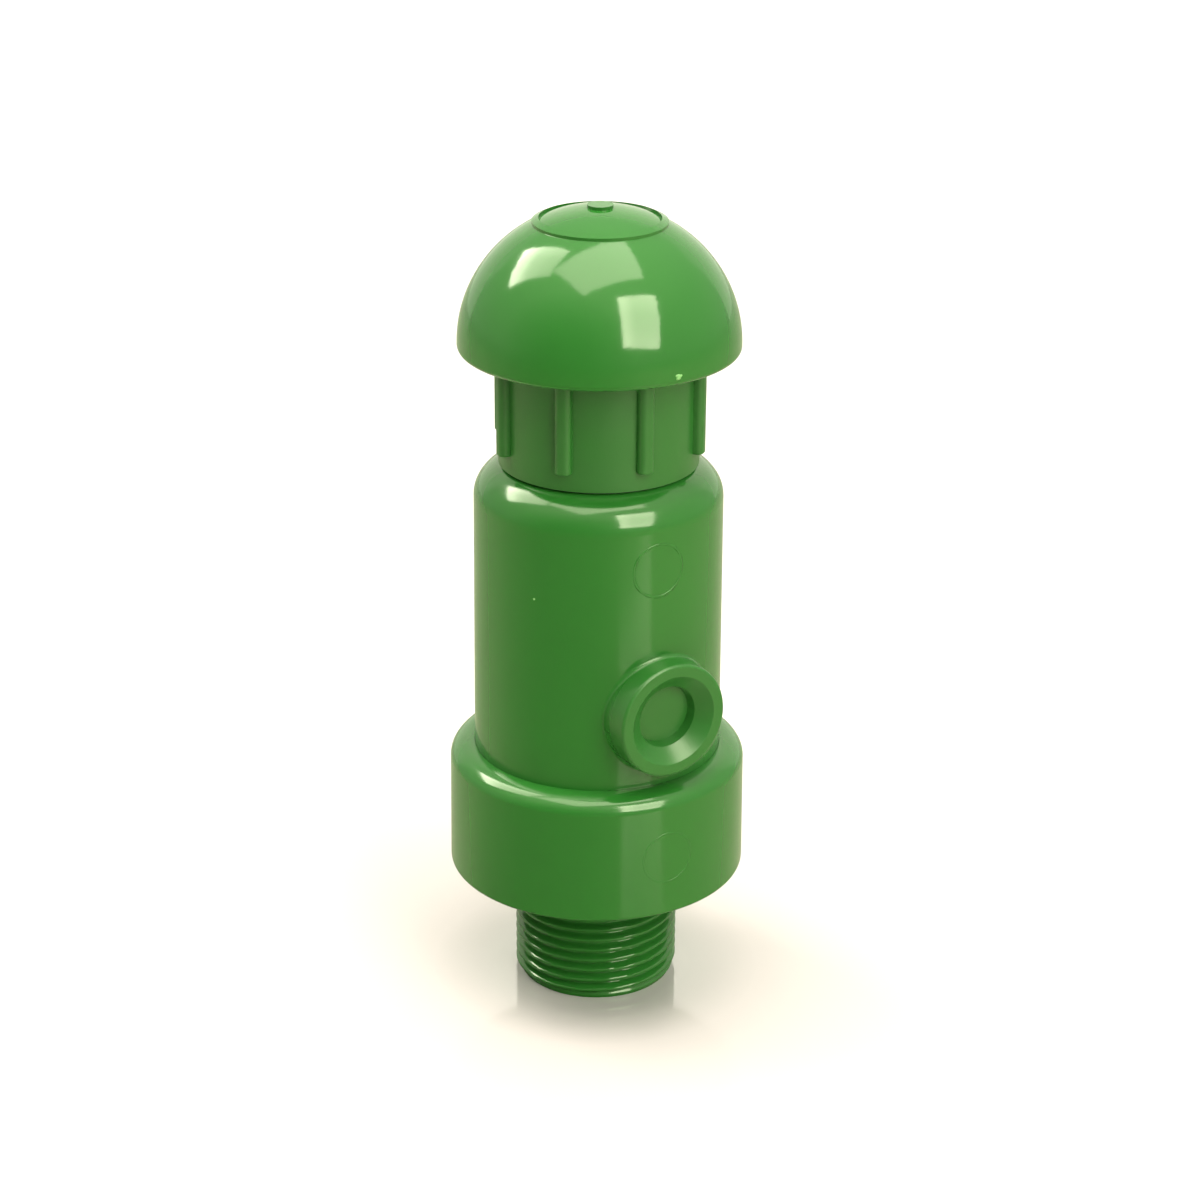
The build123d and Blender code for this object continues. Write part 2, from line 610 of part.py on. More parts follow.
# Bonnet
with BuildPart() as bonnet:
    with BuildSketch(Plane.XZ):
        with BuildLine():
            Polyline(
                (SEAT_R + SEAT_FIT, SHANK_FOOT_Z),
                (SHANK_R, SHANK_FOOT_Z),
                (SHANK_R, COLLAR_FOOT_Z),
                (COLLAR_R, COLLAR_FOOT_Z),
                (COLLAR_R, COLLAR_TOP_Z),
                (SCREEN_R + SCREEN_FIT, COLLAR_TOP_Z),
                (SCREEN_R + SCREEN_FIT, SCREEN_FOOT_Z),
                (BORE_R, SCREEN_FOOT_Z),
                (BORE_R, FLARE_TOP_Z),
                (SEAT_R - LEDGE_LAP, LEDGE_Z + LEDGE_T),
                (SEAT_R - LEDGE_LAP, LEDGE_Z),
                (SEAT_R + SEAT_FIT, LEDGE_Z),
                close=True,
            )
        make_face()
    revolve(axis=Axis.Z)
    # Grip ribs with rounded long edges and lower ends
    rib_root_r = COLLAR_R - COLLAR_WALL / 2
    with BuildSketch(Plane.XY.offset(RIB_FOOT_Z)):
        with PolarLocations((rib_root_r + RIB_R) / 2, RIB_COUNT, start_angle=RIB_ANGLE):
            Rectangle(RIB_R - rib_root_r, RIB_W)
    extrude(amount=COLLAR_TOP_Z - RIB_HEAD_DROP - RIB_FOOT_Z)
    fillet(edges().filter_by(Axis.Z).filter_by(lambda edge: reach(edge) > RIB_R), RIB_EDGE_R)
    rib_foot_edges = edges().filter_by_position(Axis.Z, RIB_FOOT_Z, RIB_FOOT_Z)
    fillet(rib_foot_edges.filter_by(lambda edge: reach(edge) > COLLAR_R), RIB_END_R)
    # Spider: arms and hub that carry the hood's stem
    with BuildSketch(Plane.XY.offset((HUB_TOP_Z + HUB_FOOT_Z - ARM_H) / 2)):
        with PolarLocations(0, ARM_COUNT // 2):
            Rectangle(2 * BORE_R + COLLAR_WALL, ARM_W)
    extrude(amount=ARM_H)
    with BuildSketch(Plane.XY.offset(HUB_FOOT_Z)):
        Circle(HUB_R)
    extrude(amount=HUB_H)
    with BuildSketch(Plane.XY.offset(HUB_FOOT_Z)):
        Circle(PIN_D / 2 + PIN_FIT)
    extrude(amount=HUB_H, mode=Mode.SUBTRACT)
save(bonnet, "bonnet")

with BuildPart() as bonnet_gasket:
    with BuildSketch(Plane.XY.offset(GASKET_SEAT_Z)):
        Circle(RECESS_R - GASKET_PLAY)
        Circle(SHANK_R + GASKET_PLAY, mode=Mode.SUBTRACT)
    extrude(amount=GASKET_T)
save(bonnet_gasket, "bonnet_gasket")

# Insect screen: upright slots between two bands
with BuildPart() as insect_screen:
    with BuildSketch(Plane.XY.offset(SCREEN_FOOT_Z)):
        Circle(SCREEN_R)
        Circle(SCREEN_R - SCREEN_WALL, mode=Mode.SUBTRACT)
    extrude(amount=HOLD_RING_Z - SCREEN_FOOT_Z)
    slot_foot_z = COLLAR_TOP_Z + SCREEN_BAND
    with BuildSketch(Plane.XY.offset(slot_foot_z)):
        with PolarLocations(SCREEN_R - SCREEN_WALL / 2, SCREEN_SLOTS):
            Rectangle(2 * SCREEN_WALL, SCREEN_SLOT_W)
    extrude(amount=HOLD_RING_Z - SCREEN_BAND - slot_foot_z, mode=Mode.SUBTRACT)
save(insect_screen, "insect_screen")

# The hood's hollow: what is left between its wall, stem, holding ring and gussets
hold_ring_out_r = SCREEN_R + (HOLD_RING_W - SCREEN_WALL) / 2
with BuildPart() as hood_hollow:
    with BuildSketch(Plane.XZ):
        with BuildLine():
            inner_curve = EllipticalCenterArc(
                (0, DOME_WIDE_Z), DOME_D / 2 - DOME_WALL, DOME_RISE - DOME_WALL, arc_size=90
            )
            Polyline(
                inner_curve @ 1,
                (0, DOME_RIM_Z),
                (DOME_D / 2 - DOME_WALL, DOME_RIM_Z),
                inner_curve @ 0,
            )
        make_face()
    revolve(axis=Axis.Z)
    with BuildSketch(Plane.XY.offset(HOLD_RING_Z)):
        Circle(hold_ring_out_r)
        Circle(hold_ring_out_r - HOLD_RING_W, mode=Mode.SUBTRACT)
    extrude(amount=DOME_RISE, mode=Mode.SUBTRACT)
    with BuildSketch(Plane.XY.offset(GUSSET_Z)):
        with PolarLocations(0, GUSSET_COUNT // 2):
            Rectangle(2 * hold_ring_out_r - HOLD_RING_W, GUSSET_W)
    extrude(amount=DOME_RISE, mode=Mode.SUBTRACT)
    with BuildSketch(Plane.XY.offset(DOME_RIM_Z)):
        Circle(STEM_R)
    extrude(amount=2 * DOME_RISE, mode=Mode.SUBTRACT)

# Hood: rounded rim, stem down to the hub, and a plain raised ring and spot on the crown
with BuildPart() as dome_cap:
    with BuildSketch(Plane.XZ) as section:
        with BuildLine():
            outer_curve = EllipticalCenterArc((0, DOME_WIDE_Z), DOME_D / 2, DOME_RISE, arc_size=90)
            Polyline(outer_curve @ 1, (0, DOME_RIM_Z), (DOME_D / 2, DOME_RIM_Z), outer_curve @ 0)
        make_face()
        fillet(corner(section, DOME_D / 2, DOME_RIM_Z), DOME_RIM_R)
    revolve(axis=Axis.Z)
    ring_foot_z = dome_height(CROWN_RING_D / 2) - DOME_WALL / 2
    with BuildSketch(Plane.XZ):
        with Locations((0, DOME_WIDE_Z)):
            Ellipse(DOME_D / 2 + CROWN_RING_H, DOME_RISE + CROWN_RING_H)
        with Locations((CROWN_RING_D / 2 - CROWN_RING_W, ring_foot_z)):
            Rectangle(CROWN_RING_W, DOME_RISE, align=(Align.MIN, Align.MIN), mode=Mode.INTERSECT)
    revolve(axis=Axis.Z)
    with BuildSketch(Plane.XY.offset(dome_height(0) - DOME_WALL / 2)):
        Circle(CROWN_SPOT_D / 2)
    extrude(amount=DOME_WALL / 2 + CROWN_RING_H)
    add(hood_hollow.part, mode=Mode.SUBTRACT)
    with BuildSketch(Plane.XY.offset(HUB_TOP_Z)):
        Circle(STEM_R)
    extrude(amount=DOME_WIDE_Z - HUB_TOP_Z)
    with BuildSketch(Plane.XY.offset(PIN_GROOVE_Z - PIN_END)):
        Circle(PIN_D / 2)
    extrude(amount=HUB_TOP_Z - PIN_GROOVE_Z + PIN_END)
    with BuildSketch(Plane.XY.offset(PIN_GROOVE_Z)):
        Circle(PIN_D / 2)
        Circle(PIN_D / 2 - PIN_GROOVE, mode=Mode.SUBTRACT)
    extrude(amount=CLIP_T + 2 * CLIP_PLAY, mode=Mode.SUBTRACT)
save(dome_cap, "dome_cap")

with BuildPart() as dome_clip:
    with BuildSketch(Plane.XY.offset(PIN_GROOVE_Z + CLIP_PLAY)):
        Circle(PIN_D / 2 + CLIP_W)
        Circle(PIN_D / 2 - PIN_GROOVE + CLIP_PLAY, mode=Mode.SUBTRACT)
    extrude(amount=CLIP_T)
save(dome_clip, "dome_clip")
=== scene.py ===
import json
import math

import bpy
from mathutils import Matrix, Vector


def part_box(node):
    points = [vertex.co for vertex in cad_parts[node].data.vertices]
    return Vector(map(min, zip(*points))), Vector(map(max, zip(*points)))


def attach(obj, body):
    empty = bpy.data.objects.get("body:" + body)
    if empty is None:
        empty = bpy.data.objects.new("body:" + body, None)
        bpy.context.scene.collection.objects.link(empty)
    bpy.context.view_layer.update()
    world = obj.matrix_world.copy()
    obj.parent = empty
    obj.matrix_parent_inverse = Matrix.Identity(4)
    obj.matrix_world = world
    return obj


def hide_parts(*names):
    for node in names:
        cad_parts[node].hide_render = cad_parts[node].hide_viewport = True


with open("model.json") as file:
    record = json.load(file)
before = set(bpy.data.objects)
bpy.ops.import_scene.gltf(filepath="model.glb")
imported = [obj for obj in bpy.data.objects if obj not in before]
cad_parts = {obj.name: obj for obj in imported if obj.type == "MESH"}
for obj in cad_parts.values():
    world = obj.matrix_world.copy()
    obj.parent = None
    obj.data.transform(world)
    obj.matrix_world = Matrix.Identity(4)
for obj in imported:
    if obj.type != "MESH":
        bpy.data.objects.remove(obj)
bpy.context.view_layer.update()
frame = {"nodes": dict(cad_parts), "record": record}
nodes = frame["nodes"]
MM = 0.001
WHITE = (1.0, 1.0, 1.0)

# Directions and places are given as the photographer sees them (+X right, +Y away, +Z up) and turned to
# the part's own axes, whose -Y side carries the port
PORT_BEARING = math.radians(31.08)
SEEN_TURN = Matrix.Rotation(-PORT_BEARING, 4, "Z")


def seen(x, y, z):
    """A place or a direction in the part's own axes, from one given as the photographer sees it."""
    return SEEN_TURN @ Vector((x, y, z))


def link(obj):
    bpy.context.scene.collection.objects.link(obj)
    return obj


def ease(x):
    """A smooth step from 0 to 1."""
    x = min(max(x, 0.0), 1.0)
    return x * x * (3 - 2 * x)


# Helpers for node materials


def new_material(name):
    mat = bpy.data.materials.new(name)
    mat.use_nodes = True
    return mat, mat.node_tree, mat.node_tree.nodes["Principled BSDF"]


def feed(tree, sockets, values):
    """Links an output to each socket, or sets the socket where the value is a plain number or vector."""
    for socket, value in zip(sockets, values):
        if isinstance(value, bpy.types.NodeSocket):
            tree.links.new(value, socket)
        else:
            socket.default_value = value


def math_node(tree, operation, *values):
    node = tree.nodes.new("ShaderNodeMath")
    node.operation = operation
    feed(tree, node.inputs, values)
    return node.outputs[0]


def vector_node(tree, operation, *values):
    node = tree.nodes.new("ShaderNodeVectorMath")
    node.operation = operation
    feed(tree, node.inputs, values)
    return node.outputs["Value" if operation in ("DOT_PRODUCT", "LENGTH") else "Vector"]


def object_coords(tree):
    return tree.nodes.new("ShaderNodeTexCoord").outputs["Object"]


def split(tree, vector):
    """The X, Y and Z outputs of a vector."""
    node = tree.nodes.new("ShaderNodeSeparateXYZ")
    tree.links.new(vector, node.inputs[0])
    return node.outputs


def noise(tree, coords, scale, detail):
    node = tree.nodes.new("ShaderNodeTexNoise")
    node.inputs["Scale"].default_value = scale
    node.inputs["Detail"].default_value = detail
    tree.links.new(coords, node.inputs["Vector"])
    return node.outputs["Fac"]


def remap(tree, value, low, high, from_low=0.3, from_high=0.7):
    """Carries a value's range, by default the one that a noise fills, over to low and high."""
    node = tree.nodes.new("ShaderNodeMapRange")
    node.inputs["From Min"].default_value = from_low
    node.inputs["From Max"].default_value = from_high
    node.inputs["To Min"].default_value = low
    node.inputs["To Max"].default_value = high
    tree.links.new(value, node.inputs["Value"])
    return node.outputs["Result"]


def mixed_colour(tree, factor, first, second):
    node = tree.nodes.new("ShaderNodeMix")
    node.data_type = "RGBA"
    feed(tree, (node.inputs["Factor"], node.inputs[6], node.inputs[7]), (factor, first, second))
    return node.outputs[2]


def mixed_number(tree, factor, first, second):
    node = tree.nodes.new("ShaderNodeMix")
    feed(tree, (node.inputs["Factor"], node.inputs[2], node.inputs[3]), (factor, first, second))
    return node.outputs[0]


def mixed_shader(tree, factor, first, second):
    node = tree.nodes.new("ShaderNodeMixShader")
    feed(tree, node.inputs, (factor, first, second))
    return node.outputs[0]


def bump(tree, height, depth, normal=None):
    """Relief of a depth in metres, on top of other relief where a normal is given."""
    node = tree.nodes.new("ShaderNodeBump")
    node.inputs["Strength"].default_value = 0.5
    node.inputs["Distance"].default_value = depth
    tree.links.new(height, node.inputs["Height"])
    if normal is not None:
        tree.links.new(normal, node.inputs["Normal"])
    return node.outputs["Normal"]


# Materials. Noise scales are in cells a metre, depths in metres
DRIFT_SCALE = 18.0
SINK_SCALE = 45.0
POLISH_SCALE = 140.0
POLISH_LOW = 0.85
POLISH_HIGH = 1.2


def moulded(
    name,
    low,
    high,
    rough,
    grain=900.0,
    grain_depth=0.00001,
    sink_depth=0.00006,
    metal=0.0,
    tint=WHITE,
    shine=0.5,
):
    """A moulded or turned surface: colour that drifts a little, uneven gloss, fine grain and slow sink."""
    mat, tree, shader = new_material(name)
    shader.inputs["Metallic"].default_value = metal
    shader.inputs["Specular IOR Level"].default_value = shine
    shader.inputs["Specular Tint"].default_value = (*tint, 1)
    coords = object_coords(tree)
    drift = remap(tree, noise(tree, coords, DRIFT_SCALE, 3.0), 0.0, 1.0)
    tree.links.new(mixed_colour(tree, drift, (*low, 1), (*high, 1)), shader.inputs["Base Color"])
    polish = noise(tree, coords, POLISH_SCALE, 4.0)
    gloss = remap(tree, polish, rough * POLISH_LOW, rough * POLISH_HIGH)
    tree.links.new(gloss, shader.inputs["Roughness"])
    sink = bump(tree, noise(tree, coords, SINK_SCALE, 1.0), sink_depth)
    fine = bump(tree, noise(tree, coords, grain, 2.0), grain_depth, sink)
    tree.links.new(fine, shader.inputs["Normal"])
    return mat


def dulled(mat, root_y, axis_z, reach, rough):
    """Dulls the gloss around an axis along -Y, from a root out and inside a reach in metres."""
    tree = mat.node_tree
    shader = tree.nodes["Principled BSDF"]
    place = split(tree, object_coords(tree))
    up = math_node(tree, "SUBTRACT", place["Z"], axis_z)
    across_squared = math_node(tree, "POWER", place["X"], 2.0)
    up_squared = math_node(tree, "POWER", up, 2.0)
    from_axis = math_node(tree, "POWER", math_node(tree, "ADD", across_squared, up_squared), 0.5)
    near = remap(tree, from_axis, 1.0, 0.0, reach, reach * PORT_FADE)
    ahead = remap(tree, place["Y"], 1.0, 0.0, root_y, root_y + MM)
    mask = math_node(tree, "MULTIPLY", near, ahead)
    gloss = shader.inputs["Roughness"].links[0].from_socket
    tree.links.new(mixed_number(tree, mask, gloss, rough), shader.inputs["Roughness"])


LEAF = (0.92, 1.0, 0.78)
SHINE = 0.8
GREEN_LOW = (0.0174, 0.125, 0.0155)
GREEN_HIGH = (0.0192, 0.134, 0.0170)
# The nicks are real mounds; their pale green is a painted highlight
NICK_PAINTED_HIGHLIGHT_LOW = (0.16, 0.40, 0.12)
NICK_PAINTED_HIGHLIGHT_HIGH = (0.24, 0.50, 0.17)
PORT_AXIS_Z = 0.067
PORT_ROOT_Y = -0.0245
PORT_REACH = 0.0118
PORT_FADE = 1.06
PORT_ROUGH = 0.32

green_gloss = moulded("green_gloss", GREEN_LOW, GREEN_HIGH, 0.10, tint=LEAF, shine=SHINE)
green_body = moulded("green_body", GREEN_LOW, GREEN_HIGH, 0.13, tint=LEAF, shine=SHINE)
green_satin = moulded("green_satin", GREEN_LOW, GREEN_HIGH, 0.36, 1600.0, 0.00002, tint=LEAF, shine=SHINE)
# The nicks' material: pale green as a painted highlight
green_nick_painted_highlight = moulded("green_nick_painted_highlight", NICK_PAINTED_HIGHLIGHT_LOW, NICK_PAINTED_HIGHLIGHT_HIGH, 0.45, 2600.0, 0.00004, tint=LEAF)
dulled(green_body, PORT_ROOT_Y, PORT_AXIS_Z, PORT_REACH, PORT_ROUGH)

finish_of = {
    "green_gloss": green_gloss,
    "green_satin": green_satin,
    "white_plastic": moulded("white_plastic", (0.76, 0.75, 0.70), (0.80, 0.79, 0.74), 0.35),
    "float_plastic": moulded("float_plastic", (0.66, 0.65, 0.58), (0.71, 0.70, 0.63), 0.42),
    "black_plastic": moulded("black_plastic", (0.012, 0.013, 0.013), (0.018, 0.019, 0.019), 0.45),
    "black_rubber": moulded(
        "black_rubber", (0.010, 0.010, 0.011), (0.016, 0.016, 0.017), 0.62, 2200.0, 0.00003
    ),
    "brass": moulded(
        "brass", (0.60, 0.40, 0.14), (0.66, 0.45, 0.17), 0.26, 2500.0, sink_depth=0.0, metal=1.0
    ),
    "spring_steel": moulded(
        "spring_steel", (0.42, 0.42, 0.43), (0.50, 0.50, 0.51), 0.30, 2500.0, sink_depth=0.0, metal=1.0
    ),
}
for part in frame["record"]["subparts"]:
    finish = green_body if part["node"] == "valve_body" else finish_of[part["material_slot"]]
    mesh = nodes[part["node"]].data
    mesh.materials.clear()
    mesh.materials.append(finish)


# Helpers for meshes. Lengths are in millimetres until a point is written
AROUND = 192
CREASE = math.radians(35)


def looped(name, rows):
    """A closed mesh through rows of points. Each row is a closed loop, and the last one joins the first."""
    around = len(rows[0])
    faces = []
    for i in range(len(rows)):
        j = (i + 1) % len(rows)
        for k in range(around):
            m = (k + 1) % around
            faces.append((i * around + k, i * around + m, j * around + m, j * around + k))
    mesh = bpy.data.meshes.new(name)
    mesh.from_pydata([point for row in rows for point in row], [], faces)
    mesh.update()
    return link(bpy.data.objects.new(name, mesh))


def revolved(name, rings):
    """A closed mesh from rings of (radius, height), where a radius may be a function of the turn."""
    rows = []
    for radius, height in rings:
        row = []
        for k in range(AROUND):
            turn = 2 * math.pi * k / AROUND
            r = radius(turn) if callable(radius) else radius
            row.append((r * math.cos(turn) * MM, r * math.sin(turn) * MM, height * MM))
        rows.append(row)
    piece = looped(name, rows)
    piece.data.set_sharp_from_angle(angle=CREASE)
    return piece


def oval(centre_r, centre_z, wide, high, start, end, steps):
    """Points (radius, height) along an oval, between two angles in degrees."""
    turns = [math.radians(start + (end - start) * k / steps) for k in range(steps + 1)]
    return [(centre_r + wide * math.cos(t), centre_z + high * math.sin(t)) for t in turns]


def evenly(low, high, steps):
    return [low + (high - low) * k / steps for k in range(steps + 1)]


def off_crest(height, lead, pitch):
    """How far a height lies from the nearest crest of a thread: 0 on it, 1 halfway between two."""
    phase = (height - lead) / pitch
    return abs(phase - round(phase)) * 2


# Threaded base: the CAD base with its pipe thread cut
THREAD_R = 16.62
THREAD_PITCH = 2.309
THREAD_DEPTH = 1.38
THREAD_PHASE = 16.13
CREST_HALF = 0.10
FLANK = 0.84
THREAD_FOOT = 0.2
THREAD_FOOT_FADE = 1.8
THREAD_HEAD = 1.2
THREAD_HEAD_FADE = 1.5
LEAD_IN = 1.0
LEAD_IN_H = 1.6
THREAD_ROWS = 170
SPIGOT_TOP = 25.5
BORE_R = 12.0
BORE_CLEAR = 1.0
FOOT_ROUND = 0.9
FOOT_STEPS = 8
RING_WALL = 4.85
RING_EDGE_H = 3.5
RING_EDGE_STEPS = 32
SOCKET_FIT = 0.05
RECESS_FIT = 0.1

# The ring, socket and strainer recess repeat the CAD base, from the sizes of the pieces that fit in it
ring_foot_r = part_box("inlet_base")[1].x / MM
ring_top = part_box("inlet_base")[1].z / MM
body_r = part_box("valve_body")[1].x / MM
floor_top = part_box("valve_body")[0].z / MM
recess_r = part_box("inlet_strainer")[1].x / MM + RECESS_FIT
recess_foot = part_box("inlet_strainer")[0].z / MM
socket_r = body_r + SOCKET_FIT
edge_foot = ring_top - RING_EDGE_H


def thread_radius(height):
    """Radius of the pipe thread at a height, as a function of the turn: a rounded V, faded at both ends."""

    def at(turn):
        lead = THREAD_PHASE + THREAD_PITCH * (turn + math.pi / 2 + PORT_BEARING) / (2 * math.pi)
        flank = (off_crest(height, lead, THREAD_PITCH) - CREST_HALF) / FLANK
        crest = 0.5 + 0.5 * math.cos(math.pi * min(max(flank, 0.0), 1.0))
        foot = ease((height - THREAD_FOOT) / THREAD_FOOT_FADE)
        head = ease((SPIGOT_TOP - THREAD_HEAD - height) / THREAD_HEAD_FADE)
        lead_in = LEAD_IN * (1 - ease(height / LEAD_IN_H))
        return THREAD_R - THREAD_DEPTH * (1 - crest) * foot * head - lead_in

    return at


rings = [(BORE_R, 0.0)]
rings += [(thread_radius(h), h) for h in evenly(0.0, SPIGOT_TOP, THREAD_ROWS)]
ring_foot = SPIGOT_TOP + FOOT_ROUND
rings += oval(ring_foot_r - FOOT_ROUND, ring_foot, FOOT_ROUND, FOOT_ROUND, -90, 0, FOOT_STEPS)
rings += oval(socket_r, edge_foot, RING_WALL, RING_EDGE_H, 0, 90, RING_EDGE_STEPS)
rings += [(socket_r, floor_top), (recess_r, floor_top), (recess_r, recess_foot), (BORE_R, recess_foot)]
threaded_base = revolved("threaded_base", rings)
threaded_base.data.materials.append(green_body)
threaded_base.data.materials.append(green_gloss)
for face in threaded_base.data.polygons:
    if face.center.z < SPIGOT_TOP * MM and face.center.xy.length > (BORE_R + BORE_CLEAR) * MM:
        face.material_index = 1
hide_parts("inlet_base")
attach(threaded_base, "housing")


# Collar thread: a low ridge on the shank, seen once the collar is unscrewed. It clears the neck's bore
COLLAR_PITCH = 3.0
COLLAR_THREAD_H = 0.22
COLLAR_THREAD_SINK = 0.5
RIDGE_HALF = 0.12
RIDGE_FLANK = 0.4
RIDGE_FADE = 1.2
SHANK_R = 16.3
SHANK_SINK = 0.02
SHANK_FOOT_GAP = 0.4
GASKET_GAP = 0.3
FADE_INSET = 0.1
COLLAR_ROWS = 110
shank_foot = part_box("bonnet")[0].z / MM
gasket_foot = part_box("bonnet_gasket")[0].z / MM
ridge_foot = shank_foot + SHANK_FOOT_GAP
ridge_head = gasket_foot - GASKET_GAP


def collar_thread_radius(height):
    """Radius of the collar's thread at a height, as a function of the turn, fading at both ends."""

    def at(turn):
        lead = shank_foot + COLLAR_PITCH * turn / (2 * math.pi)
        crest = 1 - ease((off_crest(height, lead, COLLAR_PITCH) - RIDGE_HALF) / RIDGE_FLANK)
        foot = ease((height - ridge_foot - FADE_INSET) / RIDGE_FADE)
        head = ease((ridge_head - FADE_INSET - height) / RIDGE_FADE)
        return SHANK_R - SHANK_SINK + (COLLAR_THREAD_H + SHANK_SINK) * crest * foot * head

    return at


rings = [(SHANK_R - COLLAR_THREAD_SINK, ridge_foot)]
rings += [(collar_thread_radius(h), h) for h in evenly(ridge_foot, ridge_head, COLLAR_ROWS)]
rings += [(SHANK_R - COLLAR_THREAD_SINK, ridge_head)]
collar_thread = revolved("collar_thread", rings)
collar_thread.data.materials.append(green_satin)
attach(collar_thread, "collar")


# Marks left by the mould: two faint round witness lines and two small nicks, whose pale colour is a painted
# highlight
WITNESS_R = 5.3
WITNESS_TURN = math.radians(28.4)
WITNESS_AROUND = 96
# Each line's section, from its outer edge over its crest to a point inside the wall: reach and lift
WITNESS_SECTION = [(0.3, -0.02), (0.12, 0.012), (0.0, 0.019), (-0.12, 0.012), (-0.3, -0.02), (0.0, -0.08)]
BODY_WITNESS_Z = 97.1
RING_WITNESS_Z = 38.1
BODY_TAPER = 0.3
SHOULDER_Z = 104.75
NICK_STEPS = 5
NICK_AROUND = 24
NICK_DOME = 0.3
NICK_SINK = 0.02
# The torn edge's waves: how many, how high and where they start
NICK_WAVES = [(3, 0.16, 0.7), (5, 0.1, 0.0)]


def witness_line(name, foot, top, height):
    """A thin raised circle on a tapered wall, given as two (radius, height) ends, to the camera's right."""
    rows = []
    for reach, lift in WITNESS_SECTION:
        r = WITNESS_R + reach
        row = []
        for k in range(WITNESS_AROUND):
            spin = 2 * math.pi * k / WITNESS_AROUND
            z = height + r * math.sin(spin)
            wall_r = foot[0] + (top[0] - foot[0]) * (z - foot[1]) / (top[1] - foot[1])
            bearing = WITNESS_TURN + r * math.cos(spin) / wall_r
            out = wall_r + lift
            row.append(seen(out * math.sin(bearing) * MM, -out * math.cos(bearing) * MM, z * MM))
        rows.append(row)
    line = looped(name, rows)
    line.data.shade_smooth()
    line.data.materials.append(green_body)
    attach(line, "housing")


def nick(name, place, out, wide, high, body):
    """A small torn mound on a surface that faces out, with an uneven edge, painted pale as a highlight."""
    place = Vector(place)
    normal = Vector(out).normalized()
    side = Vector((0, 0, 1)).cross(normal).normalized()
    up = normal.cross(side)

    def at(across, along, lift):
        return seen(*((place + side * across + up * along + normal * lift) * MM))

    verts = [at(0.0, 0.0, NICK_DOME * wide)]
    for i in range(1, NICK_STEPS + 1):
        lift = NICK_DOME * wide * math.cos(math.pi / 2 * i / NICK_STEPS) - NICK_SINK * wide * i
        for k in range(NICK_AROUND):
            spin = 2 * math.pi * k / NICK_AROUND
            torn = 1 + sum(wave * math.sin(count * spin + start) for count, wave, start in NICK_WAVES)
            r = i / NICK_STEPS * torn
            verts.append(at(r * wide * math.cos(spin), r * high * math.sin(spin), lift))
    faces = []
    for k in range(NICK_AROUND):
        m = (k + 1) % NICK_AROUND
        faces.append((0, 1 + k, 1 + m))
        for i in range(NICK_STEPS - 1):
            a = 1 + i * NICK_AROUND
            faces.append((a + k, a + NICK_AROUND + k, a + NICK_AROUND + m, a + m))
    last = 1 + (NICK_STEPS - 1) * NICK_AROUND
    faces.append([last + k for k in reversed(range(NICK_AROUND))])
    mesh = bpy.data.meshes.new(name)
    mesh.from_pydata(verts, [], faces)
    mesh.shade_smooth()
    mesh.materials.append(green_nick_painted_highlight)
    mound = link(bpy.data.objects.new(name, mesh))
    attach(mound, body)


body_foot = (body_r, ring_top)
body_top = (body_r - BODY_TAPER, SHOULDER_Z)
ring_wall_foot = (ring_foot_r, ring_foot)
ring_wall_top = (socket_r + RING_WALL, edge_foot)
witness_line("body_witness", body_foot, body_top, BODY_WITNESS_Z)
witness_line("ring_witness", ring_wall_foot, ring_wall_top, RING_WITNESS_Z)
nick(
    "hood_nick",
    place=(14.7, -23.11, 136.4),
    out=(0.53, -0.84, 0.12),
    wide=0.8,
    high=0.65,
    body="collar",
)
nick(
    "body_nick",
    place=(-12.17, -21.38, 91.0),
    out=(-0.495, -0.869, 0.0),
    wide=0.22,
    high=0.2,
    body="housing",
)


# Camera
CAMERA_AT = (0.00043, -0.52036, 0.30068)
CAMERA_DOWN = 22.801
CAMERA_ROLL = 0.0065881

camera_data = bpy.data.cameras.new("camera")
camera_data.sensor_width = 36.0
camera_data.lens = 85.05
camera_data.clip_start = 0.01
camera_data.clip_end = 50.0
camera = link(bpy.data.objects.new("camera", camera_data))
pitch = Matrix.Rotation(math.radians(90 - CAMERA_DOWN), 4, "X")
roll = Matrix.Rotation(CAMERA_ROLL, 4, "Z")
camera.matrix_world = Matrix.Translation(seen(*CAMERA_AT)) @ SEEN_TURN @ pitch @ roll
bpy.context.scene.camera = camera


# Lights: two softboxes and a soft panel overhead, each brighter along its frame
WARM = (1.0, 0.97, 0.86)
EDGE_START = 0.25


